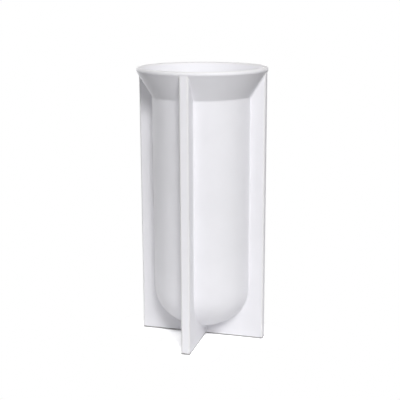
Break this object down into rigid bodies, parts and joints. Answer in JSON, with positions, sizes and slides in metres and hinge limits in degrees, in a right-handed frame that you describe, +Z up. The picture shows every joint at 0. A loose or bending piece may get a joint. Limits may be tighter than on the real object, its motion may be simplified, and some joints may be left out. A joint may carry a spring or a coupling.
{
  "type": "vase",
  "caption": "Free-standing white ceramic vase: a round-bottomed cylinder with a flared mouth, carried clear of the floor by upright fins that cross beneath it.",
  "frame": {"origin": "on the floor, where the fins cross on the vase's axis", "axes": "+Z up along the vase's axis towards the mouth, -Y towards the front fin, +X towards the right fin"},
  "size_m": [0.1318, 0.1318, 0.28],
  "materials": {
    "white_glaze": "smooth satin white glaze"
  },
  "bodies": {
    "root": {"flared_mouth": "white_glaze", "vessel_barrel": "white_glaze", "round_bottom": "white_glaze", "front_fin": "white_glaze", "right_fin": "white_glaze", "back_fin": "white_glaze", "left_fin": "white_glaze"}
  },
  "joints": []
}
